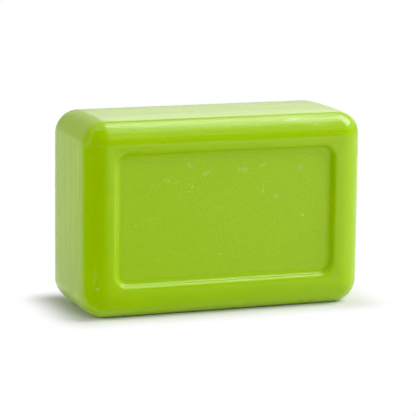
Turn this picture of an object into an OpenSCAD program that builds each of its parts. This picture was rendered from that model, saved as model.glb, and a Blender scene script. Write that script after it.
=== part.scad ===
// Stamped bar of soap, standing on one long side, with a recessed panel in each broad face.
// X runs along the bar, the panel face looks towards -Y and Z points up.
// The origin is on the surface that the bar stands on, under the middle of the bar.

/* [Bar] */
// Length of the bar, end to end
bar_length = 80; // [70:0.5:110]
// Height of the bar as it stands, across its broad face
bar_height = 53.5; // [46:0.5:80]
// Depth of the side band, between the edges of the two stamped faces
band_depth = 24.5; // [16:0.5:36]
// Width of the flat strip along the middle of the band, which the bar stands on
band_flat = 6; // [4:0.5:12]
// How far the band draws in from that strip to each of its edges
band_draw_in = 0.3; // [0.1:0.05:1]
// Radius of the bar's four corners, seen from the front
corner_radius = 6.7; // [6.2:0.1:8]

/* [Cushion] */
// How far each stamped face stands out from the edge of the band
cushion_rise = 3.8; // [2.5:0.1:4.2]
// Radius of the shoulder where the cushion leaves the band
shoulder_radius = 3.5; // [2.5:0.1:4]
// Angle between the band and the shoulder at their common edge, in degrees
shoulder_angle = 22; // [15:1:27]

/* [Panel] */
// Width of the rim, from the bar's side to the start of the lip
rim_width = 8.1; // [7.5:0.1:12]
// Radius of the panel's corners, at the start of the lip
panel_corner_radius = 4; // [3.4:0.1:6]
// Depth of the panel's floor below the rim
panel_depth = 1.5; // [0.9:0.05:2]
// Slope of the panel's wall, in degrees from the floor
wall_slope = 62; // [48:1:74]
// Radius of the rounded lip between the rim and the wall
lip_radius = 2.2; // [1:0.1:2.4]
// Radius of the fillet between the wall and the floor
floor_fillet = 0.5; // [0.2:0.05:0.8]

/* [Hidden] */
// Height of each stamped face above the middle plane of the bar
face_level = band_depth / 2 + cushion_rise;
// Distances from the bar's centre to the centres of its corners
corner_x = bar_length / 2 - corner_radius;
corner_y = bar_height / 2 - corner_radius;

// Radius of the band's crowned part, which starts along the flat strip and ends at the band's edge
crown_run = (band_depth - band_flat) / 2;
crown_radius = (crown_run * crown_run + band_draw_in * band_draw_in) / (2 * band_draw_in);
// Steps round the crown's large circle, of which the band takes only a short arc
crown_steps = 720;

// Centre of the shoulder's arc, measured out from the corner's centre and up from the middle plane
shoulder_x = corner_radius - band_draw_in - shoulder_radius * cos(shoulder_angle);
shoulder_y = band_depth / 2 - shoulder_radius * sin(shoulder_angle);
// The crest's arc touches the shoulder's arc and levels out over the corner's centre
crest_gap = face_level - shoulder_y;
crest_radius = (shoulder_x * shoulder_x + crest_gap * crest_gap - shoulder_radius * shoulder_radius)
    / (2 * (crest_gap - shoulder_radius));
crest_angle = atan2(crest_radius - crest_gap, shoulder_x);

// Level of the panel's floor above the middle plane
floor_level = face_level - panel_depth;
// Distances from the bar's centre to the centres of the panel's corners
panel_x = bar_length / 2 - rim_width - panel_corner_radius;
panel_y = bar_height / 2 - rim_width - panel_corner_radius;
// Angle at which the lip leaves the rim
lip_angle = 5;
// The lip and the fillet share the wall's depth, so neither is larger than its share allows
lip_share = 0.78;
fillet_share = 0.2;
lip_r = min(lip_radius, lip_share * panel_depth / (cos(lip_angle) - cos(wall_slope)));
fillet_r = min(floor_fillet, fillet_share * panel_depth / (1 - cos(wall_slope)));
// Depth and run of each part of the wall, from the rim down to the floor
lip_drop = lip_r * (cos(lip_angle) - cos(wall_slope));
lip_run = lip_r * (sin(wall_slope) - sin(lip_angle));
fillet_drop = fillet_r * (1 - cos(wall_slope));
slope_drop = panel_depth - lip_drop - fillet_drop;
slope_run = slope_drop / tan(wall_slope);
// How far the cutter of the panel reaches above the rim, and how steeply it opens there
cutter_top = 1;
cutter_flare = 35;

$fn = 128;

// A slice of a disc between two angles less than a right angle apart
module sector(centre, radius, from, to) {
    reach = 2 * radius;
    middle = (from + to) / 2;
    intersection() {
        translate(centre) circle(r = radius);
        translate(centre)
            polygon([
                [0, 0],
                [reach * cos(from), reach * sin(from)],
                [reach * cos(middle), reach * sin(middle)],
                [reach * cos(to), reach * sin(to)]
            ]);
    }
}

// Front half of the bar's edge section: band, shoulder and crest, from the corner's centre outwards
module half_edge_section() {
    square([corner_radius, band_flat / 2]);
    intersection() {
        translate([corner_radius - crown_radius, band_flat / 2]) circle(r = crown_radius, $fn = crown_steps);
        translate([0, band_flat / 2]) square([2 * corner_radius, crown_run]);
    }
    sector([shoulder_x, shoulder_y], shoulder_radius, shoulder_angle, crest_angle);
    intersection() {
        sector([0, face_level - crest_radius], crest_radius, crest_angle, 90);
        square([corner_radius, face_level]);
    }
}

// Whole edge section, the same towards the front and the back
module edge_section() {
    half_edge_section();
    mirror([0, 1]) half_edge_section();
}

// Section of the cut that makes the panel, from its corner's centre out to the lip
module panel_section() {
    wall_top = [panel_corner_radius - lip_run, face_level - lip_drop];
    wall_foot = wall_top - [slope_run, slope_drop];
    fillet_centre = [wall_foot[0] - fillet_r * sin(wall_slope), floor_level + fillet_r];
    lip_centre = [panel_corner_radius + lip_r * sin(lip_angle), face_level - lip_r * cos(lip_angle)];
    difference() {
        union() {
            polygon([
                [0, floor_level],
                [fillet_centre[0], floor_level],
                fillet_centre,
                wall_foot,
                wall_top,
                lip_centre,
                [panel_corner_radius, face_level],
                [panel_corner_radius + cutter_top / tan(cutter_flare), face_level + cutter_top],
                [0, face_level + cutter_top]
            ]);
            sector(fillet_centre, fillet_r, -90, wall_slope - 90);
        }
        sector(lip_centre, lip_r, 90 + lip_angle, 90 + wall_slope);
    }
}

// Carries a section round a rectangle whose corners' centres lie at half_x and half_y
module around(half_x, half_y) {
    for (side = [0, 1]) {
        rotate(180 * side) {
            translate([half_x, half_y]) rotate_extrude(angle = 90) children();
            translate([-half_x, half_y]) rotate(90) rotate_extrude(angle = 90) children();
            translate([half_x, half_y]) rotate([90, 0, 0]) linear_extrude(2 * half_y) children();
            translate([-half_x, half_y]) rotate([90, 0, 90]) linear_extrude(2 * half_x) children();
        }
    }
}

// The plain bar, with the band all round it and a cushion on each face
module blank() {
    around(corner_x, corner_y) edge_section();
    translate([-corner_x, -corner_y, -face_level]) cube([2 * corner_x, 2 * corner_y, 2 * face_level]);
}

// What the die presses out of one face: the floor, its fillet, the wall and the lip
module panel_cut() {
    around(panel_x, panel_y) panel_section();
    translate([-panel_x, -panel_y, floor_level]) cube([2 * panel_x, 2 * panel_y, panel_depth + cutter_top]);
}

// The whole bar, one piece of soap, stood up on its long side
module soap_bar() {
    color("#9cc324")
        translate([0, 0, bar_height / 2])
            rotate([90, 0, 0])
                difference() {
                    blank();
                    panel_cut();
                    mirror([0, 0, 1]) panel_cut();
                }
}

soap_bar();
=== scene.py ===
"""Looks of a stamped bar of toilet soap that stands on one long side on a pale studio floor.

The bar is one piece of milled soap. Its surface is a stack of rounded rectangular rings that a
Geometry Nodes tree carries through the section of the bar's edge: panel, lip, cushion, band, and
the same again on the back. Sizes are in millimetres and turn to metres where a mesh is made.
"""
import logging
import math
from dataclasses import dataclass, field
from enum import Enum
from functools import partial
from typing import Any

import bpy
from mathutils import Matrix, Vector


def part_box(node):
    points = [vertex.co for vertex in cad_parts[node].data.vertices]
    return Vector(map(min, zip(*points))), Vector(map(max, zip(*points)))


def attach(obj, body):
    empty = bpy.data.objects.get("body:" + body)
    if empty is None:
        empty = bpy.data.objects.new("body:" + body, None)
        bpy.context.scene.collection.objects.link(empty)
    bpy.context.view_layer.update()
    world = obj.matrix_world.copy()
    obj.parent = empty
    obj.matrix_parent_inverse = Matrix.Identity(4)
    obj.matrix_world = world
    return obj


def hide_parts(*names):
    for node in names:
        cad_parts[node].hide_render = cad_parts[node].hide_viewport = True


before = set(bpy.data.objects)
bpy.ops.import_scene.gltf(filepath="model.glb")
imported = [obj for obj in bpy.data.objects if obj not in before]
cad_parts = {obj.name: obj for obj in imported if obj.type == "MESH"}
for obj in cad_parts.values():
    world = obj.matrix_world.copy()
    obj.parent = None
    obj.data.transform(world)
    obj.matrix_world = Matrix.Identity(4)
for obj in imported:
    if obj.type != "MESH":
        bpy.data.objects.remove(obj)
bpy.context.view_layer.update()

LOG = logging.getLogger("soap")
MM = 0.001
PHOTO_WIDTH_PX = 416
SENSOR_MM = 36.0


class Zone(Enum):
    """Parts of the surface that the die leaves differently, as (band, panel) weights."""

    BAND = (1.0, 0.0)
    CUSHION = (0.0, 0.0)
    PANEL = (0.0, 1.0)


def linear(colour: str) -> tuple[float, float, float, float]:
    """Turns a colour to the linear values that shaders take.

    Args:
        colour: sRGB colour as #rrggbb.

    Returns:
        Linear red, green and blue, and an alpha of 1.
    """
    shares = [int(colour[i : i + 2], 16) / 255 for i in (1, 3, 5)]
    red, green, blue = (s / 12.92 if s <= 0.04045 else ((s + 0.055) / 1.055) ** 2.4 for s in shares)
    return red, green, blue, 1.0


def direction(azimuth: float, elevation: float) -> Vector:
    """Points from the bar towards a place in the studio.

    Args:
        azimuth: Degrees to the right of straight in front of the panel.
        elevation: Degrees above the floor.

    Returns:
        A vector of length 1.
    """
    across, up = math.radians(azimuth), math.radians(elevation)
    return Vector((math.sin(across) * math.cos(up), -math.cos(across) * math.cos(up), math.sin(up)))


def add_node(
    tree: bpy.types.NodeTree, kind: str, inputs: dict[str | int, Any] | None = None, **settings: Any
) -> bpy.types.Node:
    """Adds a node, with its settings and what goes into it.

    Args:
        tree: Tree that the node goes into.
        kind: The node's type.
        inputs: For each input's name or number, a socket or node to link, or a value to set.
        settings: The node's own properties.

    Returns:
        The new node.
    """
    node = tree.nodes.new(kind)
    for name, value in settings.items():
        setattr(node, name, value)
    for name, value in (inputs or {}).items():
        if isinstance(value, bpy.types.Node):
            value = value.outputs[0]
        if isinstance(value, bpy.types.NodeSocket):
            tree.links.new(value, node.inputs[name])
        else:
            node.inputs[name].default_value = value
    return node


def add_object(name: str, data: bpy.types.ID) -> bpy.types.Object:
    """Puts a mesh, light or camera into the scene.

    Args:
        name: Name of the new object.
        data: What the object shows.

    Returns:
        The new object, at the origin.
    """
    made = bpy.data.objects.new(name, data)
    bpy.context.scene.collection.objects.link(made)
    return made


@dataclass(frozen=True)
class Station:
    """One ring of the surface, where the section passes it."""

    inset: float
    depth: float
    corner: float
    zone: Zone


@dataclass
class EdgeSection:
    """Section of the bar's edge, from the middle of the band to the floor of a panel."""

    face_level: float
    band_depth: float = 24.5
    band_flat: float = 6.0
    band_draw_in: float = 0.3
    corner_radius: float = 6.7
    shoulder_radius: float = 3.5
    shoulder_angle: float = 22.0
    edge_break: float = 0.1
    rim_width: float = 8.25
    panel_corner_radius: float = 4.0
    panel_depth: float = 1.5
    # Crisper than on the plain solid: the rim rolls off, the lip is tight and the foot eases out
    roll_angle: float = 10.0
    lip_angle: float = 20.0
    lip_radius: float = 1.5
    wall_slope: float = 62.0
    floor_fillet: float = 1.1
    foot_run: float = 0.6
    foot_angle: float = 16.0
    flat_steps: int = 5
    crown_steps: int = 9
    shoulder_steps: int = 8
    crest_steps: int = 16
    rim_steps: int = 6
    lip_steps: int = 9
    fillet_steps: int = 6
    foot_steps: int = 3
    margin_steps: int = 3

    def stations(self) -> list[Station]:
        """Lists the rings of the whole section.

        Returns:
            The rings from the floor of the back panel to that of the front one.
        """
        half = self.band_part() + self.cushion_part() + self.panel_part()
        back = [Station(s.inset, -s.depth, s.corner, s.zone) for s in half]
        return back[:0:-1] + half

    def outer(self, out: float, depth: float, zone: Zone) -> Station:
        """Makes a ring round the bar's own corners, at a distance out from their centres."""
        return Station(self.corner_radius - out, depth, out, zone)

    def inner(self, out: float, depth: float, zone: Zone) -> Station:
        """Makes a ring round the panel's corners, at a distance out from their centres."""
        return Station(self.rim_width + self.panel_corner_radius - out, depth, out, zone)

    def band_part(self) -> list[Station]:
        """Lists the rings of half of the band, whose edge draws in.

        Returns:
            The rings of its flat strip, then those up to its front edge.
        """
        flat, edge = self.band_flat / 2, self.band_depth / 2
        run = edge - flat
        radius = (run**2 + self.band_draw_in**2) / (2 * self.band_draw_in)
        levels = [flat * i / self.flat_steps for i in range(self.flat_steps)]
        rings = [self.outer(self.corner_radius, level, Zone.BAND) for level in levels]
        for i in range(self.crown_steps + 1):
            rise = (run - self.edge_break) * i / self.crown_steps
            drop = radius - math.sqrt(radius**2 - rise**2)
            rings.append(self.outer(self.corner_radius - drop, flat + rise, Zone.BAND))
        return rings

    def cushion_part(self) -> list[Station]:
        """Lists the rings of a cushion.

        Returns:
            The rings of the shoulder's arc, the crest's arc and the rim that rolls off.
        """
        start = math.radians(self.shoulder_angle)
        small = self.shoulder_radius
        out = self.corner_radius - self.band_draw_in - small * math.cos(start)
        level = self.band_depth / 2 - small * math.sin(start)
        gap = self.face_level - level
        large = (out**2 + gap**2 - small**2) / (2 * (gap - small))
        meet = math.atan2(large - gap, out)
        begin = start + self.edge_break / small
        rings = []
        for i in range(self.shoulder_steps + 1):
            angle = begin + (meet - begin) * i / self.shoulder_steps
            ring = (out + small * math.cos(angle), level + small * math.sin(angle))
            rings.append(self.outer(*ring, Zone.CUSHION))
        for i in range(1, self.crest_steps + 1):
            angle = meet + (math.pi / 2 - meet) * i / self.crest_steps
            ring = (large * math.cos(angle), self.face_level - large + large * math.sin(angle))
            rings.append(self.outer(*ring, Zone.CUSHION))
        for i in range(1, self.rim_steps):
            angle = math.radians(self.roll_angle) * i / self.rim_steps
            inset = self.corner_radius + self.roll_radius() * math.sin(angle)
            level = self.face_level - self.roll_radius() * (1 - math.cos(angle))
            corner = self.panel_corner_radius * i / self.rim_steps
            rings.append(Station(inset, level, corner, Zone.CUSHION))
        return rings

    def roll_radius(self) -> float:
        """Gives the large radius on which the rim rolls off towards the lip."""
        return (self.rim_width - self.corner_radius) / math.sin(math.radians(self.roll_angle))

    def panel_part(self) -> list[Station]:
        """Lists the rings of a recessed panel.

        Returns:
            The rings of the lip, the wall's fillet and foot, and the margin of the floor.
        """
        start, slope = math.radians(self.lip_angle), math.radians(self.wall_slope)
        foot = math.radians(self.foot_angle)
        lip, fillet = self.lip_radius, self.floor_fillet
        out = self.panel_corner_radius + lip * math.sin(start)
        lip_level = self.face_level - self.roll_radius() * (1 - math.cos(math.radians(self.roll_angle)))
        level = lip_level - lip * math.cos(start)
        rings = []
        for i in range(self.lip_steps + 1):
            angle = start + (slope - start) * i / self.lip_steps
            ring = (out - lip * math.sin(angle), level + lip * math.cos(angle))
            rings.append(self.inner(*ring, Zone.CUSHION))
        ease = self.foot_run / math.sin(foot)
        floor_level = self.face_level - self.panel_depth
        ease_level = floor_level + ease * (1 - math.cos(foot))
        wall_level = ease_level + fillet * (math.cos(foot) - math.cos(slope))
        top, top_level = rings[-1].corner, rings[-1].depth
        end = top - (top_level - wall_level) / math.tan(slope)
        centre = end - fillet * math.sin(slope)
        for i in range(self.fillet_steps + 1):
            angle = slope + (foot - slope) * i / self.fillet_steps
            drop = fillet * (math.cos(foot) - math.cos(angle))
            rings.append(self.inner(centre + fillet * math.sin(angle), ease_level + drop, Zone.CUSHION))
        edge = rings[-1].corner - self.foot_run
        for i in range(1, self.foot_steps + 1):
            angle = foot * (1 - i / self.foot_steps)
            drop = ease * (1 - math.cos(angle))
            rings.append(self.inner(edge + ease * math.sin(angle), floor_level + drop, Zone.CUSHION))
        for i in range(1, self.margin_steps + 1):
            out = edge * (1 - i / self.margin_steps)
            rings.append(self.inner(out, floor_level, Zone.PANEL))
        return rings


@dataclass(frozen=True)
class Scuff:
    """A shallow rubbed spot on the bar's front, an oval that fades out towards its edge.

    All lengths are in millimetres, and the turn is in degrees from level.
    """

    across: float
    up: float
    half_length: float
    half_width: float
    turn: float = 0.0
    strength: float = 0.6
    # Distance of the face from the bar's middle, and how far in front and behind the spot reaches
    level: float = 14.5
    reach: float = 4.0
    # Share of the oval that has the full strength
    core: float = 0.2

    def mask(self, tree: bpy.types.NodeTree, place: bpy.types.NodeSocket) -> bpy.types.Node:
        """Adds the nodes of one spot.

        Args:
            tree: Tree to add to.
            place: The bar's own coordinates.

        Returns:
            A node that gives the spot's strength in its middle and 0 outside it.
        """
        local = add_node(
            tree,
            "ShaderNodeMapping",
            {
                "Vector": place,
                "Location": Vector((self.across, -self.level, self.up)) * MM,
                "Rotation": (0.0, -math.radians(self.turn), 0.0),
                "Scale": Vector((self.half_length, self.reach, self.half_width)) * MM,
            },
            vector_type="TEXTURE",
        )
        out = add_node(tree, "ShaderNodeVectorMath", {0: local}, operation="LENGTH").outputs["Value"]
        return add_node(
            tree,
            "ShaderNodeMapRange",
            {"Value": out, "From Min": 1.0, "From Max": self.core, "To Max": self.strength},
            interpolation_type="SMOOTHSTEP",
        )


@dataclass(frozen=True)
class MilledSoap:
    """Milled toilet soap, pressed between polished dies.

    Fatty soap is a dense, waxy, slightly translucent solid: light enters a fraction of a
    millimetre, and comes out greener where it went further. The dies leave the cushions glossy,
    the band between them dull and finely streaked along its length, and the panels a little
    grainy. Handling has rubbed small pale scuffs into the front.
    """

    name: str = "milled_soap"
    colour: str = "#a9ce00"
    mottle_colour: str = "#a3c900"
    band_pale: str = "#b5d42c"
    band_deep: str = "#9cc404"
    panel_pale: str = "#adcf22"
    panel_deep: str = "#9fc614"
    scuff_colour: str = "#cfe08c"
    ior: float = 1.47
    scatter_mm: float = 0.12
    scatter_shares: tuple[float, float, float] = (0.7, 1.0, 0.15)
    gloss_roughness: float = 0.09
    band_roughness: float = 0.25
    panel_roughness: float = 0.4
    scuff_roughness: float = 0.2
    mottle_mm: float = 9.0
    streak_mm: float = 0.7
    streak_length_mm: float = 24.0
    # The grit of a real panel is about 0.1 mm; it is drawn at 0.45 mm, the finest that shows
    grain_mm: float = 0.45
    streak_height_mm: float = 0.02
    grain_height_mm: float = 0.02
    scuff_height_mm: float = 0.02
    streak_detail: float = 3.0
    # Levels of the noise at which streaks and grain are fully deep and fully pale
    pattern_range: tuple[float, float] = (0.3, 0.7)
    # Levels of the grain at which a scuff is weakest and strongest, and its weakest share
    fleck_range: tuple[float, float] = (0.4, 0.6)
    fleck_least: float = 0.2
    # The panel's specks and scratches, then those of the rim and the top shoulder
    scuffs: tuple[Scuff, ...] = (
        Scuff(-9.5, 40.2, 0.45, 0.4, strength=0.9),
        Scuff(-10.4, 41.0, 1.4, 1.1, strength=0.35),
        Scuff(-5.6, 38.5, 1.9, 1.2, 20.0, 0.4),
        Scuff(-9.6, 34.8, 1.0, 0.35, 65.0, 0.9),
        Scuff(-10.3, 33.8, 0.8, 0.3, 20.0, 0.8),
        Scuff(-16.8, 37.0, 1.6, 0.9, -20.0, 0.4),
        Scuff(-13.7, 36.3, 0.9, 0.7, strength=0.35),
        Scuff(5.1, 39.0, 2.4, 1.1, -15.0, 0.3),
        Scuff(10.6, 40.1, 1.5, 0.8, 15.0, 0.35),
        Scuff(10.8, 33.0, 2.1, 0.3, 88.0, 0.7),
        Scuff(14.8, 31.3, 1.2, 1.1, strength=0.4),
        Scuff(21.7, 39.0, 1.4, 1.3, strength=0.35),
        Scuff(22.6, 25.7, 0.9, 0.45, -35.0, 0.8),
        Scuff(-25.5, 25.1, 0.45, 0.4, strength=0.8),
        Scuff(28.6, 19.5, 0.45, 0.45, strength=0.8),
        Scuff(-0.9, 16.2, 0.55, 0.45, 50.0, 0.9),
        Scuff(15.8, 25.2, 0.35, 0.35, strength=0.6),
        Scuff(-36.6, 23.6, 0.6, 0.4, strength=0.6),
        Scuff(-36.9, 12.4, 3.2, 0.7, 85.0, 0.22),
        Scuff(-36.4, 8.8, 0.7, 0.5, strength=0.6),
        Scuff(-31.5, 3.4, 0.5, 0.4, strength=0.8),
        Scuff(26.0, 50.3, 5.0, 0.35, -6.0, 0.5),
        Scuff(19.5, 51.9, 3.5, 0.5, 6.0, 0.5),
        Scuff(25.0, 51.2, 8.5, 1.3, -3.0, 0.2),
    )

    def material(self) -> bpy.types.Material:
        """Builds the material.

        Returns:
            A material that reads the piece's own coordinates and its "zone" attribute.
        """
        made = bpy.data.materials.new(self.name)
        made.use_nodes = True
        tree = made.node_tree
        tree.nodes.clear()
        add = partial(add_node, tree)
        place = add("ShaderNodeTexCoord").outputs["Object"]
        zone = add("ShaderNodeAttribute", attribute_name="zone").outputs["Vector"]
        zones = add("ShaderNodeSeparateXYZ", {0: zone})
        band, panel = zones.outputs["X"], zones.outputs["Y"]
        mottle = add("ShaderNodeTexNoise", {"Vector": place, "Scale": 1 / (self.mottle_mm * MM)})
        along = 1 / (self.streak_length_mm * MM)
        across = 1 / (self.streak_mm * MM)
        stretched = add("ShaderNodeMapping", {"Vector": place, "Scale": (along, across, along)})
        fine = {"Vector": stretched, "Scale": 1.0, "Detail": self.streak_detail}
        streaks = add("ShaderNodeTexNoise", fine)
        grain = add("ShaderNodeTexNoise", {"Vector": place, "Scale": 1 / (self.grain_mm * MM)})
        worn = self.add_wear(tree, place, grain)
        tones = {0: mottle, 6: linear(self.colour), 7: linear(self.mottle_colour)}
        tone = add("ShaderNodeMix", tones, data_type="RGBA").outputs[2]
        # The band shows streaks and the panel grain; the cushions keep the plain tone
        low, high = self.pattern_range
        for zone_share, pattern, deep, pale in (
            (band, streaks, self.band_deep, self.band_pale),
            (panel, grain, self.panel_deep, self.panel_pale),
        ):
            clear = add("ShaderNodeMapRange", {"Value": pattern, "From Min": low, "From Max": high})
            tones = {0: clear, 6: linear(deep), 7: linear(pale)}
            surface = add("ShaderNodeMix", tones, data_type="RGBA").outputs[2]
            tones = {0: zone_share, 6: tone, 7: surface}
            tone = add("ShaderNodeMix", tones, data_type="RGBA").outputs[2]
        tones = {0: worn, 6: tone, 7: linear(self.scuff_colour)}
        tone = add("ShaderNodeMix", tones, data_type="RGBA").outputs[2]
        rough = self.gloss_roughness
        for mask, added in (
            (band, self.band_roughness - self.gloss_roughness),
            (panel, self.panel_roughness - self.gloss_roughness),
            (worn, self.scuff_roughness),
        ):
            rough = add("ShaderNodeMath", {0: mask, 1: added, 2: rough}, operation="MULTIPLY_ADD")
        band_streaks = add("ShaderNodeMath", {0: streaks, 1: band}, operation="MULTIPLY")
        panel_grain = add("ShaderNodeMath", {0: grain, 1: panel}, operation="MULTIPLY")
        relief = 0.0
        for mask, height_mm in (
            (band_streaks, self.streak_height_mm),
            (panel_grain, self.grain_height_mm),
            (worn, self.scuff_height_mm),
        ):
            summed = {0: mask, 1: height_mm * MM, 2: relief}
            relief = add("ShaderNodeMath", summed, operation="MULTIPLY_ADD")
        bump = add("ShaderNodeBump", {"Height": relief, "Distance": 1.0})
        shader = add(
            "ShaderNodeBsdfPrincipled",
            {
                "Base Color": tone,
                "Roughness": rough,
                "Normal": bump,
                "IOR": self.ior,
                "Subsurface Weight": 1.0,
                "Subsurface Radius": self.scatter_shares,
                "Subsurface Scale": self.scatter_mm * MM,
            },
        )
        add("ShaderNodeOutputMaterial", {"Surface": shader})
        return made

    def add_wear(
        self, tree: bpy.types.NodeTree, place: bpy.types.NodeSocket, grain: bpy.types.Node
    ) -> bpy.types.Node:
        """Adds the scuffs, broken up by the grain as a rubbed surface is.

        Args:
            tree: Tree to add to.
            place: The bar's own coordinates.
            grain: Noise that breaks the scuffs up.

        Returns:
            A node that gives how worn the surface is, from 0 to 1.
        """
        worn = self.scuffs[0].mask(tree, place)
        for scuff in self.scuffs[1:]:
            mask = scuff.mask(tree, place)
            worn = add_node(tree, "ShaderNodeMath", {0: worn, 1: mask}, operation="MAXIMUM")
        low, high = self.fleck_range
        flecks = add_node(
            tree,
            "ShaderNodeMapRange",
            {"Value": grain, "From Min": low, "From Max": high, "To Min": self.fleck_least},
        )
        return add_node(tree, "ShaderNodeMath", {0: worn, 1: flecks}, operation="MULTIPLY")


@dataclass
class SoapBar:
    """The bar of soap, one solid piece that replaces the plain solid of the frame."""

    low: Vector
    high: Vector
    finish: MilledSoap = field(default_factory=MilledSoap)
    node: str = "soap_bar"
    slot: str = "green_soap"
    length_steps: int = 60
    height_steps: int = 36
    corner_steps: int = 20
    weld_mm: float = 0.001
    # Pressed soap springs back unevenly as it leaves the die
    wave_mm: float = 0.04
    wave_size_mm: float = 11.0
    wave_seed: float = 3.0

    def build(self) -> bpy.types.Object:
        """Makes the bar, takes the place of the frame's node and rides on its body.

        Returns:
            The finished piece.
        """
        section = EdgeSection(face_level=(self.high.y - self.low.y) / 2 / MM)
        profile = self.profile(section.stations())
        tree = self.sweep_tree()
        modifier = profile.modifiers.new("sweep", "NODES")
        modifier.node_group = tree
        values = {
            "Length": self.high.x - self.low.x,
            "Height": self.high.z - self.low.z,
            "Length steps": self.length_steps,
            "Height steps": self.height_steps,
            "Corner steps": self.corner_steps,
            "Weld distance": self.weld_mm * MM,
            "Wave depth": self.wave_mm * MM,
            "Wave size": self.wave_size_mm * MM,
            "Wave seed": self.wave_seed,
            "Material": self.finish.material(),
        }
        for item in tree.interface.items_tree:
            if item.name in values and item.in_out == "INPUT":
                modifier[item.identifier] = values[item.name]
        bpy.context.view_layer.update()
        evaluated = profile.evaluated_get(bpy.context.evaluated_depsgraph_get())
        mesh = bpy.data.meshes.new_from_object(evaluated)
        profile.modifiers.remove(modifier)
        bpy.data.objects.remove(profile)
        mesh.name = "bar_of_soap"
        bar = add_object("bar_of_soap", mesh)
        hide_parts(self.node)
        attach(bar, "root")
        return bar

    def profile(self, stations: list[Station]) -> bpy.types.Object:
        """Makes the mesh that holds the section for the tree.

        Args:
            stations: The rings in order.

        Returns:
            An object with one point for each ring, at (inset, depth, corner) in metres.
        """
        points = [Vector((s.inset, s.depth, s.corner)) * MM for s in stations]
        edges = [(i, i + 1) for i in range(len(points) - 1)]
        mesh = bpy.data.meshes.new("section")
        mesh.from_pydata(points, edges, [])
        zones = mesh.attributes.new("zone", "FLOAT_VECTOR", "POINT")
        for item, station in zip(zones.data, stations):
            item.vector = (*station.zone.value, 0.0)
        return add_object("section", mesh)

    def sweep_tree(self) -> bpy.types.NodeTree:
        """Builds the tree that carries the section round the bar.

        Returns:
            A tree whose first input is the section and whose other inputs are sizes.
        """
        tree = bpy.data.node_groups.new("ring_sweep", "GeometryNodeTree")
        sockets = {
            "Section": "NodeSocketGeometry",
            "Length": "NodeSocketFloat",
            "Height": "NodeSocketFloat",
            "Length steps": "NodeSocketInt",
            "Height steps": "NodeSocketInt",
            "Corner steps": "NodeSocketInt",
            "Weld distance": "NodeSocketFloat",
            "Wave depth": "NodeSocketFloat",
            "Wave size": "NodeSocketFloat",
            "Wave seed": "NodeSocketFloat",
            "Material": "NodeSocketMaterial",
        }
        for name, kind in sockets.items():
            tree.interface.new_socket(name=name, in_out="INPUT", socket_type=kind)
        tree.interface.new_socket(name="Bar", in_out="OUTPUT", socket_type="NodeSocketGeometry")
        add = partial(add_node, tree)
        given = add("NodeGroupInput").outputs
        rings = self.add_rings(tree, given)
        front = self.add_floor(tree, given, 1.0)
        back = self.add_floor(tree, given, -1.0)
        joined = add("GeometryNodeJoinGeometry")
        for part in (back, front, rings):
            tree.links.new(part.outputs[0], joined.inputs[0])
        welded = add(
            "GeometryNodeMergeByDistance", {"Geometry": joined, "Distance": given["Weld distance"]}
        )
        scale = add("ShaderNodeMath", {0: 1.0, 1: given["Wave size"]}, operation="DIVIDE")
        waves = add(
            "ShaderNodeTexNoise",
            {"Vector": add("GeometryNodeInputPosition"), "W": given["Wave seed"], "Scale": scale},
            noise_dimensions="4D",
        )
        sink = add("ShaderNodeMath", {0: waves, 1: given["Wave depth"]}, operation="MULTIPLY")
        inward = add("ShaderNodeMath", {0: sink, 1: -1.0}, operation="MULTIPLY")
        shift = add(
            "ShaderNodeVectorMath",
            {0: add("GeometryNodeInputNormal"), "Scale": inward},
            operation="SCALE",
        )
        waved = add("GeometryNodeSetPosition", {"Geometry": welded, "Offset": shift})
        smooth = add("GeometryNodeSetShadeSmooth", {"Geometry": waved, "Shade Smooth": True})
        real = add("GeometryNodeRealizeInstances", {"Geometry": smooth})
        dressed = add("GeometryNodeSetMaterial", {"Geometry": real, "Material": given["Material"]})
        add("NodeGroupOutput", {"Bar": dressed})
        return tree

    def add_rings(self, tree: bpy.types.NodeTree, given: bpy.types.NodeOutputs) -> bpy.types.Node:
        """Adds the nodes that lay a grid round the bar, one row of its points for each ring.

        Args:
            tree: Tree to add to.
            given: Outputs of the tree's input node.

        Returns:
            The node that gives the placed surface, with its zone stored.
        """
        add = partial(add_node, tree)
        section = given["Section"]
        count = add("GeometryNodeAttributeDomainSize", {"Geometry": section}).outputs["Point Count"]
        straight = add(
            "ShaderNodeMath", {0: given["Height steps"], 1: given["Length steps"]}, operation="ADD"
        )
        quarter = add("ShaderNodeMath", {0: straight, 1: given["Corner steps"]}, operation="ADD")
        around = add("ShaderNodeMath", {0: quarter, 1: 4.0, 2: 1.0}, operation="MULTIPLY_ADD")
        grid = add("GeometryNodeMeshGrid", {"Vertices X": around, "Vertices Y": count})
        index = add("GeometryNodeInputIndex")
        turns = add("ShaderNodeMath", {0: index, 1: count}, operation="DIVIDE")
        column = add("ShaderNodeMath", {0: turns}, operation="FLOOR")
        row = add("ShaderNodeMath", {0: index, 1: count}, operation="MODULO")
        position = add("GeometryNodeInputPosition")
        ring = add(
            "GeometryNodeSampleIndex",
            {"Geometry": section, "Value": position, "Index": row},
            data_type="FLOAT_VECTOR",
        )
        ring = add("ShaderNodeSeparateXYZ", {0: ring})
        inset, depth, corner = ring.outputs
        named = add("GeometryNodeInputNamedAttribute", {"Name": "zone"}, data_type="FLOAT_VECTOR")
        zone = add(
            "GeometryNodeSampleIndex",
            {"Geometry": section, "Value": named, "Index": row},
            data_type="FLOAT_VECTOR",
        )
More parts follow.
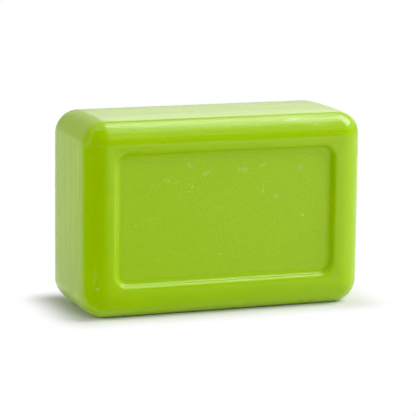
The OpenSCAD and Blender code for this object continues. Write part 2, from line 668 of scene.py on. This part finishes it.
        # The bar has four like quarters; every second one is passed the other way round
        quarters = add("ShaderNodeMath", {0: column, 1: quarter}, operation="DIVIDE")
        which = add("ShaderNodeMath", {0: quarters}, operation="FLOOR")
        forward = add("ShaderNodeMath", {0: column, 1: quarter}, operation="MODULO")
        backward = add("ShaderNodeMath", {0: quarter, 1: forward}, operation="SUBTRACT")
        odd = add("ShaderNodeMath", {0: which, 1: 2.0}, operation="MODULO")
        step = add("ShaderNodeMix", {0: odd, 2: forward, 3: backward}, data_type="FLOAT")
        # Counted from 0 at the upper right, quarters 1 and 2 lie on the left, and 2 and 3 below
        left = add("ShaderNodeMath", {0: which, 1: 1.5, 2: 1.0}, operation="COMPARE")
        low = add("ShaderNodeMath", {0: which, 1: 2.5, 2: 1.0}, operation="COMPARE")
        side_x = add("ShaderNodeMath", {0: left, 1: -2.0, 2: 1.0}, operation="MULTIPLY_ADD")
        side_z = add("ShaderNodeMath", {0: low, 1: -2.0, 2: 1.0}, operation="MULTIPLY_ADD")
        # Up half of the short side, round the corner, then back along half of the long side
        bend = add(
            "ShaderNodeMath", {0: given["Height steps"], 1: given["Corner steps"]}, operation="ADD"
        )
        up = add("ShaderNodeMapRange", {"Value": step, "From Max": given["Height steps"]})
        turn = add(
            "ShaderNodeMapRange",
            {"Value": step, "From Min": given["Height steps"], "From Max": bend, "To Max": math.pi / 2},
        )
        back = add(
            "ShaderNodeMapRange",
            {"Value": step, "From Min": bend, "From Max": quarter, "To Min": 1.0, "To Max": 0.0},
        )
        taken = add("ShaderNodeMath", {0: inset, 1: corner}, operation="ADD")
        half = []
        for size in ("Length", "Height"):
            reach = add("ShaderNodeMath", {0: given[size], 1: 0.5}, operation="MULTIPLY")
            half.append(add("ShaderNodeMath", {0: reach, 1: taken}, operation="SUBTRACT"))
        cosine = add("ShaderNodeMath", {0: turn}, operation="COSINE")
        sine = add("ShaderNodeMath", {0: turn}, operation="SINE")
        arc_x = add("ShaderNodeMath", {0: corner, 1: cosine}, operation="MULTIPLY")
        arc_z = add("ShaderNodeMath", {0: corner, 1: sine}, operation="MULTIPLY")
        out_x = add("ShaderNodeMath", {0: half[0], 1: back, 2: arc_x}, operation="MULTIPLY_ADD")
        out_z = add("ShaderNodeMath", {0: half[1], 1: up, 2: arc_z}, operation="MULTIPLY_ADD")
        x = add("ShaderNodeMath", {0: out_x, 1: side_x}, operation="MULTIPLY")
        y = add("ShaderNodeMath", {0: depth, 1: -1.0}, operation="MULTIPLY")
        centre = add("ShaderNodeMath", {0: given["Height"], 1: 0.5}, operation="MULTIPLY")
        z = add("ShaderNodeMath", {0: out_z, 1: side_z, 2: centre}, operation="MULTIPLY_ADD")
        place = add("ShaderNodeCombineXYZ", {0: x, 1: y, 2: z})
        stored = add(
            "GeometryNodeStoreNamedAttribute",
            {"Geometry": grid, "Name": "zone", "Value": zone},
            data_type="FLOAT_VECTOR",
        )
        return add("GeometryNodeSetPosition", {"Geometry": stored, "Position": place})

    def add_floor(
        self, tree: bpy.types.NodeTree, given: bpy.types.NodeOutputs, side: float
    ) -> bpy.types.Node:
        """Adds the nodes that close the innermost ring with the flat floor of a panel.

        Args:
            tree: Tree to add to.
            given: Outputs of the tree's input node.
            side: 1 for the front panel and -1 for the back one.

        Returns:
            The node that gives the placed floor.
        """
        add = partial(add_node, tree)
        section = given["Section"]
        ring = add(
            "GeometryNodeSampleIndex",
            {"Geometry": section, "Value": add("GeometryNodeInputPosition"), "Index": 0},
            data_type="FLOAT_VECTOR",
        )
        inset, depth, corner = add("ShaderNodeSeparateXYZ", {0: ring}).outputs
        spans, counts = [], []
        for size in ("Length", "Height"):
            spans.append(
                add("ShaderNodeMath", {0: inset, 1: -2.0, 2: given[size]}, operation="MULTIPLY_ADD")
            )
            steps = given[size + " steps"]
            counts.append(add("ShaderNodeMath", {0: steps, 1: 2.0, 2: 1.0}, operation="MULTIPLY_ADD"))
        grid = add(
            "GeometryNodeMeshGrid",
            {"Size X": 1.0, "Size Y": 1.0, "Vertices X": counts[0], "Vertices Y": counts[1]},
        )
        across, up, _ = add("ShaderNodeSeparateXYZ", {0: add("GeometryNodeInputPosition")}).outputs
        turned = add("ShaderNodeMath", {0: across, 1: side}, operation="MULTIPLY")
        centre = add("ShaderNodeMath", {0: given["Height"], 1: 0.5}, operation="MULTIPLY")
        x = add("ShaderNodeMath", {0: turned, 1: spans[0]}, operation="MULTIPLY")
        y = add("ShaderNodeMath", {0: depth, 1: side}, operation="MULTIPLY")
        z = add("ShaderNodeMath", {0: up, 1: spans[1], 2: centre}, operation="MULTIPLY_ADD")
        place = add("ShaderNodeCombineXYZ", {0: x, 1: y, 2: z})
        stored = add(
            "GeometryNodeStoreNamedAttribute",
            {"Geometry": grid, "Name": "zone", "Value": (*Zone.PANEL.value, 0.0)},
            data_type="FLOAT_VECTOR",
        )
        return add("GeometryNodeSetPosition", {"Geometry": stored, "Position": place})


def add_whiteness(tree: bpy.types.NodeTree) -> bpy.types.Node:
    """Adds nodes that tell the rays that show the white background from those that light the bar.

    Args:
        tree: Tree to add to.

    Returns:
        A node that gives 1 for camera, mirror and glass rays, and 0 for all others.
    """
    rays = add_node(tree, "ShaderNodeLightPath").outputs
    seen = add_node(
        tree,
        "ShaderNodeMath",
        {0: rays["Is Camera Ray"], 1: rays["Is Glossy Ray"]},
        operation="MAXIMUM",
    )
    return add_node(
        tree, "ShaderNodeMath", {0: seen, 1: rays["Is Transmission Ray"]}, operation="MAXIMUM"
    )


@dataclass(frozen=True)
class Softbox:
    """A rectangle of even white light that faces the bar."""

    name: str
    azimuth: float
    elevation: float
    width_m: float
    height_m: float
    radiance: float
    # A polarised lamp lights the soap but leaves no glint on it
    polarised: bool = False
    distance_m: float = 1.4

    def build(self, target: Vector) -> bpy.types.Object:
        """Hangs the light.

        Args:
            target: Point that the light faces.

        Returns:
            The light, which the camera doesn't see.
        """
        light = bpy.data.lights.new(self.name, "AREA")
        light.shape = "RECTANGLE"
        light.size, light.size_y = self.width_m, self.height_m
        light.energy = self.radiance * math.pi * self.width_m * self.height_m
        made = add_object(self.name, light)
        away = direction(self.azimuth, self.elevation)
        made.rotation_mode = "QUATERNION"
        made.rotation_quaternion = away.to_track_quat("Z", "Y")
        made.location = target + away * self.distance_m
        made.visible_camera = False
        made.visible_glossy = not self.polarised
        return made


@dataclass(frozen=True)
class GlossCard:
    """Card bent round the bar, which only its gloss shows: black velvet, grey or a lit reflector."""

    name: str
    azimuths: tuple[float, float]
    elevations: tuple[float, float]
    radiance: float = 0.0
    radius_m: float = 1.2
    steps: int = 16

    def build(self, target: Vector) -> bpy.types.Object:
        """Stands the card where only reflections show it.

        Args:
            target: Point that the card is bent round.

        Returns:
            The card, marked as stage.
        """
        points, faces = [], []
        for i in range(self.steps + 1):
            share = i / self.steps
            azimuth = self.azimuths[0] + (self.azimuths[1] - self.azimuths[0]) * share
            points += [target + direction(azimuth, up) * self.radius_m for up in self.elevations]
            if i:
                faces.append((2 * i - 2, 2 * i, 2 * i + 1, 2 * i - 1))
        mesh = bpy.data.meshes.new(self.name)
        mesh.from_pydata(points, [], faces)
        mesh.materials.append(self.material())
        card = add_object(self.name, mesh)
        card.visible_camera = card.visible_diffuse = card.visible_shadow = False
        return card

    def material(self) -> bpy.types.Material:
        """Builds the card's own even tone.

        Returns:
            A material that no lamp changes.
        """
        made = bpy.data.materials.new(self.name)
        made.use_nodes = True
        tree = made.node_tree
        tree.nodes.clear()
        tone = add_node(tree, "ShaderNodeEmission", {"Strength": self.radiance})
        add_node(tree, "ShaderNodeOutputMaterial", {"Surface": tone})
        return made


@dataclass(frozen=True)
class FloorCard:
    """Card that lies on the floor, toned from left to right, which only the bar's gloss shows."""

    name: str
    # Its front left corner and its rear right one
    low_mm: tuple[float, float]
    high_mm: tuple[float, float]
    left: str
    right: str
    # Where along the bar the tone starts and ends its change
    fade_mm: tuple[float, float] = (-40.0, 95.0)
    lift_mm: float = 0.1

    def build(self) -> bpy.types.Object:
        """Lays the card.

        Returns:
            The card, hidden from the camera, from diffuse light and from shadows.
        """
        (left, front), (right, rear) = self.low_mm, self.high_mm
        ring = ((left, front), (right, front), (right, rear), (left, rear))
        corners = [Vector((x, y, self.lift_mm)) * MM for x, y in ring]
        mesh = bpy.data.meshes.new(self.name)
        mesh.from_pydata(corners, [], [(0, 1, 2, 3)])
        mesh.materials.append(self.material())
        card = add_object(self.name, mesh)
        card.visible_camera = card.visible_diffuse = card.visible_shadow = False
        return card

    def material(self) -> bpy.types.Material:
        """Builds the card's own tones.

        Returns:
            A material that no lamp changes.
        """
        made = bpy.data.materials.new(self.name)
        made.use_nodes = True
        tree = made.node_tree
        tree.nodes.clear()
        add = partial(add_node, tree)
        place = add("ShaderNodeTexCoord").outputs["Object"]
        across = add("ShaderNodeSeparateXYZ", {0: place}).outputs["X"]
        start, end = (v * MM for v in self.fade_mm)
        share = add("ShaderNodeMapRange", {"Value": across, "From Min": start, "From Max": end})
        tone = add(
            "ShaderNodeMix", {0: share, 6: linear(self.left), 7: linear(self.right)}, data_type="RGBA"
        )
        glow = add("ShaderNodeEmission", {"Color": tone.outputs[2], "Strength": 1.0})
        add("ShaderNodeOutputMaterial", {"Surface": glow})
        return made


@dataclass(frozen=True)
class PaleFloor:
    """Matt white studio floor, which shows plain white away from the bar and keeps its shadow."""

    name: str = "pale_card"
    colour: str = "#e6e6e6"
    span_m: float = 8.0
    # Half of the bar's footprint, and how far beyond it the shadow fades out
    foot_mm: tuple[float, float] = (38.0, 14.0)
    fade_mm: float = 12.0

    def build(self) -> bpy.types.Object:
        """Lays the floor under the bar.

        Returns:
            The floor.
        """
        half = self.span_m / 2
        corners = [(-half, -half, 0), (half, -half, 0), (half, half, 0), (-half, half, 0)]
        mesh = bpy.data.meshes.new("studio_floor")
        mesh.from_pydata(corners, [], [(0, 1, 2, 3)])
        mesh.materials.append(self.material())
        floor = add_object("studio_floor", mesh)
        return floor

    def material(self) -> bpy.types.Material:
        """Builds the matt card.

        Returns:
            A material whose far part is plain white wherever it is seen.
        """
        made = bpy.data.materials.new(self.name)
        made.use_nodes = True
        tree = made.node_tree
        tree.nodes.clear()
        add = partial(add_node, tree)
        place = add("ShaderNodeTexCoord").outputs["Object"]
        foot = tuple(v * MM for v in self.foot_mm) + (0.0,)
        mirrored = add("ShaderNodeVectorMath", {0: place}, operation="ABSOLUTE")
        past = add("ShaderNodeVectorMath", {0: mirrored, 1: foot}, operation="SUBTRACT")
        clear = add("ShaderNodeVectorMath", {0: past, 1: (0.0, 0.0, 0.0)}, operation="MAXIMUM")
        far = add("ShaderNodeVectorMath", {0: clear}, operation="LENGTH").outputs["Value"]
        fade = add(
            "ShaderNodeMapRange",
            {"Value": far, "From Max": self.fade_mm * MM},
            interpolation_type="SMOOTHSTEP",
        )
        white = add("ShaderNodeMath", {0: fade, 1: add_whiteness(tree)}, operation="MULTIPLY")
        card = add("ShaderNodeBsdfDiffuse", {"Color": linear(self.colour)})
        glow = add("ShaderNodeEmission", {"Strength": 1.0})
        mixed = add("ShaderNodeMixShader", {0: white, 1: card, 2: glow})
        add("ShaderNodeOutputMaterial", {"Surface": mixed})
        return made


@dataclass(frozen=True)
class Room:
    """White studio room: dim as light, plain white where it is seen."""

    radiance: float = 0.3

    def build(self) -> bpy.types.World:
        """Makes the world's light.

        Returns:
            The scene's world.
        """
        world = bpy.data.worlds.new("studio_room")
        world.use_nodes = True
        tree = world.node_tree
        tree.nodes.clear()
        strength = add_node(
            tree,
            "ShaderNodeMix",
            {0: add_whiteness(tree), 2: self.radiance, 3: 1.0},
            data_type="FLOAT",
        )
        background = add_node(tree, "ShaderNodeBackground", {"Strength": strength})
        add_node(tree, "ShaderNodeOutputWorld", {"Surface": background})
        return world


@dataclass(frozen=True)
class Viewpoint:
    """Camera at the photograph's viewing angle."""

    azimuth: float = -20.51
    elevation: float = 10.39
    roll: float = 0.64
    distance_mm: float = 646.1
    aim_mm: tuple[float, float, float] = (0.48, 0.0, 26.11)
    focal_px: float = 2348.1

    def build(self) -> bpy.types.Object:
        """Sets up the camera.

        Returns:
            The scene's camera.
        """
        data = bpy.data.cameras.new("camera")
        data.sensor_width = SENSOR_MM
        data.lens = self.focal_px / PHOTO_WIDTH_PX * SENSOR_MM
        camera = add_object("camera", data)
        away = direction(self.azimuth, self.elevation)
        across = math.radians(self.azimuth)
        right = Vector((math.cos(across), math.sin(across), 0.0))
        up = away.cross(right)
        turn = Matrix((right, up, away)).transposed() @ Matrix.Rotation(math.radians(self.roll), 3, "Z")
        camera.matrix_world = turn.to_4x4()
        camera.location = (Vector(self.aim_mm) + away * self.distance_mm) * MM
        bpy.context.scene.camera = camera
        return camera


@dataclass
class Studio:
    """Floor, room, lights, cards and camera."""

    target: Vector
    floor: PaleFloor = field(default_factory=PaleFloor)
    room: Room = field(default_factory=Room)
    viewpoint: Viewpoint = field(default_factory=Viewpoint)
    # Azimuth and elevation in degrees, width and height in metres, radiance
    lights: tuple[Softbox, ...] = (
        Softbox("key_softbox", 72.0, 46.0, 0.75, 1.0, 6.2),
        Softbox("back_softbox", 158.0, 24.0, 0.9, 0.6, 0.85),
        Softbox("right_strip", 84.0, 14.0, 0.5, 0.5, 2.35, polarised=True),
        Softbox("left_fill", -105.0, 18.0, 0.8, 0.7, 4.1, polarised=True),
        Softbox("front_fill", 4.0, 30.0, 0.8, 0.7, 3.7, polarised=True),
    )
    # Azimuths and elevations in degrees, radiance
    cards: tuple[GlossCard, ...] = (
        GlossCard("front_card", (-60.0, 14.0), (-2.0, 62.0)),
        GlossCard("left_card", (-86.0, -60.0), (-2.0, 45.0), 0.45),
        GlossCard("left_gap_card", (-98.0, -86.0), (-2.0, 70.0)),
        GlossCard("far_left_card", (-125.0, -98.0), (-2.0, 70.0), 0.3),
        GlossCard("rear_left_card", (-180.0, -125.0), (-2.0, 60.0), 0.45),
        GlossCard("rear_card", (165.0, 180.0), (-2.0, 60.0), 0.6),
        GlossCard("right_card", (14.0, 54.0), (-2.0, 24.0), 0.1),
        GlossCard("low_right_card", (54.0, 130.0), (-2.0, 12.0), 0.26),
        GlossCard("soft_reflector", (24.0, 36.0), (46.0, 68.0), 2.2),
        GlossCard("upper_reflector", (36.0, 58.0), (52.0, 66.0), 3.6),
        GlossCard("high_reflector", (46.0, 100.0), (66.0, 80.0), 6.0),
        GlossCard("rear_reflector", (100.0, 130.0), (58.0, 76.0), 3.0),
    )
    floor_cards: tuple[FloorCard, ...] = (
        FloorCard("front_floor_card", (-600.0, -600.0), (600.0, -15.5), "#101010", "#f0f0f0"),
        FloorCard("rear_floor_card", (-600.0, -12.0), (-46.0, 600.0), "#dcdcdc", "#dcdcdc"),
    )

    def build(self) -> None:
        """Builds the stage and sets the scene's plain view settings."""
        scene = bpy.context.scene
        scene.view_settings.view_transform = "Standard"
        scene.world = self.room.build()
        self.floor.build()
        for light in self.lights:
            light.build(self.target)
        for card in self.cards:
            card.build(self.target)
        for card in self.floor_cards:
            card.build()
        self.viewpoint.build()


def main() -> None:
    """Builds the bar and its studio, and reports each piece."""
    logging.basicConfig(level=logging.INFO, format="%(message)s")
    low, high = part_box("soap_bar")
    bar = SoapBar(low, high).build()
    LOG.info("%s: %d vertices, %d faces", bar.name, len(bar.data.vertices), len(bar.data.polygons))
    Studio(target=(low + high) / 2).build()
    LOG.info("studio ready")


if __name__ == "__main__":
    main()
